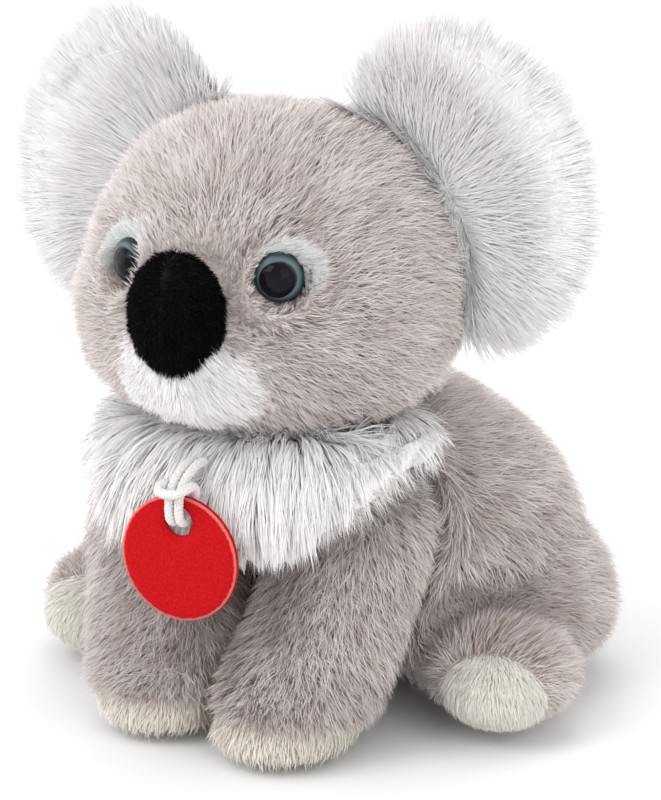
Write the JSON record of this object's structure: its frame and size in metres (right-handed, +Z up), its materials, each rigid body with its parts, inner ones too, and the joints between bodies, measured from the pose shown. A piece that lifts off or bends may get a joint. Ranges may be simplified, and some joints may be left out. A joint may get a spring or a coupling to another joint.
{
  "type": "plush koala",
  "caption": "Sitting plush koala toy with round fluffy ears, white bib, black nose, glossy eyes and a round felt tag on a cord; its soft neck, ears, legs and tag move",
  "frame": {"origin": "on the floor, in the middle plane of the toy, on the flat underside of the stuffed body", "axes": "+Z up, the toy faces -Y, its own left side is +X"},
  "size_m": [0.1542, 0.1492, 0.1698],
  "materials": {
    "grey_plush": "short grey plush pile with pale tips",
    "white_plush": "long white plush pile",
    "cream_plush": "short cream plush pile",
    "black_plush": "short dense black velour",
    "polyester_fibre": "loose white polyester fibre filling",
    "painted_eye": "gloss plastic painted with a blue-green ring and a dark pupil",
    "clear_plastic": "clear polished plastic dome",
    "nylon_washer": "white moulded nylon",
    "red_felt": "red woven felt with a pale pink edge",
    "white_cord": "white braided cotton cord"
  },
  "bodies": {
    "body": {"body_back_skin": "grey_plush", "body_belly_skin": "grey_plush", "body_stuffing": "polyester_fibre", "chest_bib": "white_plush"},
    "neck": {"neck_stuffing": "polyester_fibre"},
    "head": {"head_skin": "grey_plush", "head_stuffing": "polyester_fibre", "muzzle_patch": "white_plush", "nose_pad": "black_plush", "eye_patch_left": "white_plush", "eye_cup_left": "painted_eye", "eye_dome_left": "clear_plastic", "eye_washer_left": "nylon_washer", "eye_patch_right": "white_plush", "eye_cup_right": "painted_eye", "eye_dome_right": "clear_plastic", "eye_washer_right": "nylon_washer"},
    "ear_left": {"ear_left_front": "white_plush", "ear_left_back": "grey_plush"},
    "ear_right": {"ear_right_front": "white_plush", "ear_right_back": "grey_plush"},
    "foreleg_left": {"foreleg_left_skin": "grey_plush", "foreleg_left_sole": "cream_plush", "foreleg_left_stuffing": "polyester_fibre"},
    "hindleg_left": {"hindleg_left_skin": "grey_plush", "hindleg_left_sole": "white_plush", "hindleg_left_stuffing": "polyester_fibre"},
    "foreleg_right": {"foreleg_right_skin": "grey_plush", "foreleg_right_sole": "cream_plush", "foreleg_right_stuffing": "polyester_fibre"},
    "hindleg_right": {"hindleg_right_skin": "grey_plush", "hindleg_right_sole": "white_plush", "hindleg_right_stuffing": "polyester_fibre"},
    "tag_cord": {"tag_cord": "white_cord"},
    "tag": {"tag_disc": "red_felt"}
  },
  "joints": [
    {"name": "neck_nod", "type": "hinge", "parent": "body", "child": "neck", "pos_m": [0, -0.026, 0.08], "axis": [1, 0, 0], "range_deg": [-6, 6], "stiffness_Nm_per_rad": 0.6},
    {"name": "head_turn", "type": "hinge", "parent": "neck", "child": "head", "pos_m": [0, -0.026, 0.08], "axis": [0, 0, 1], "range_deg": [-15, 15], "stiffness_Nm_per_rad": 0.3},
    {"name": "ear_left_fold", "type": "hinge", "parent": "head", "child": "ear_left", "pos_m": [0.038, -0.009, 0.1235], "axis": [-0.3834, 0, 0.9236], "range_deg": [-12, 12], "stiffness_Nm_per_rad": 0.05},
    {"name": "ear_right_fold", "type": "hinge", "parent": "head", "child": "ear_right", "pos_m": [-0.038, -0.009, 0.1235], "axis": [0.3834, 0, 0.9236], "range_deg": [-12, 12], "stiffness_Nm_per_rad": 0.05},
    {"name": "foreleg_left_lift", "type": "hinge", "parent": "body", "child": "foreleg_left", "pos_m": [0.027, -0.036, 0.053], "axis": [-0.7986, -0.6018, 0], "range_deg": [0, 18], "stiffness_Nm_per_rad": 0.25},
    {"name": "foreleg_right_lift", "type": "hinge", "parent": "body", "child": "foreleg_right", "pos_m": [-0.027, -0.036, 0.053], "axis": [-0.7986, 0.6018, 0], "range_deg": [0, 18], "stiffness_Nm_per_rad": 0.25},
    {"name": "hindleg_left_lift", "type": "hinge", "parent": "body", "child": "hindleg_left", "pos_m": [0.042, 0.015, 0.022], "axis": [-1, 0, 0], "range_deg": [0, 15], "stiffness_Nm_per_rad": 0.25},
    {"name": "hindleg_right_lift", "type": "hinge", "parent": "body", "child": "hindleg_right", "pos_m": [-0.042, 0.015, 0.022], "axis": [-1, 0, 0], "range_deg": [0, 15], "stiffness_Nm_per_rad": 0.25},
    {"name": "tag_lift", "type": "hinge", "parent": "body", "child": "tag_cord", "pos_m": [0, -0.0666, 0.07245], "axis": [-1, 0, 0], "range_deg": [0, 45]},
    {"name": "tag_turn", "type": "hinge", "parent": "tag_cord", "child": "tag", "pos_m": [0, -0.0764, 0.0606], "axis": [0, -1, 0], "range_deg": [-20, 20]}
  ]
}
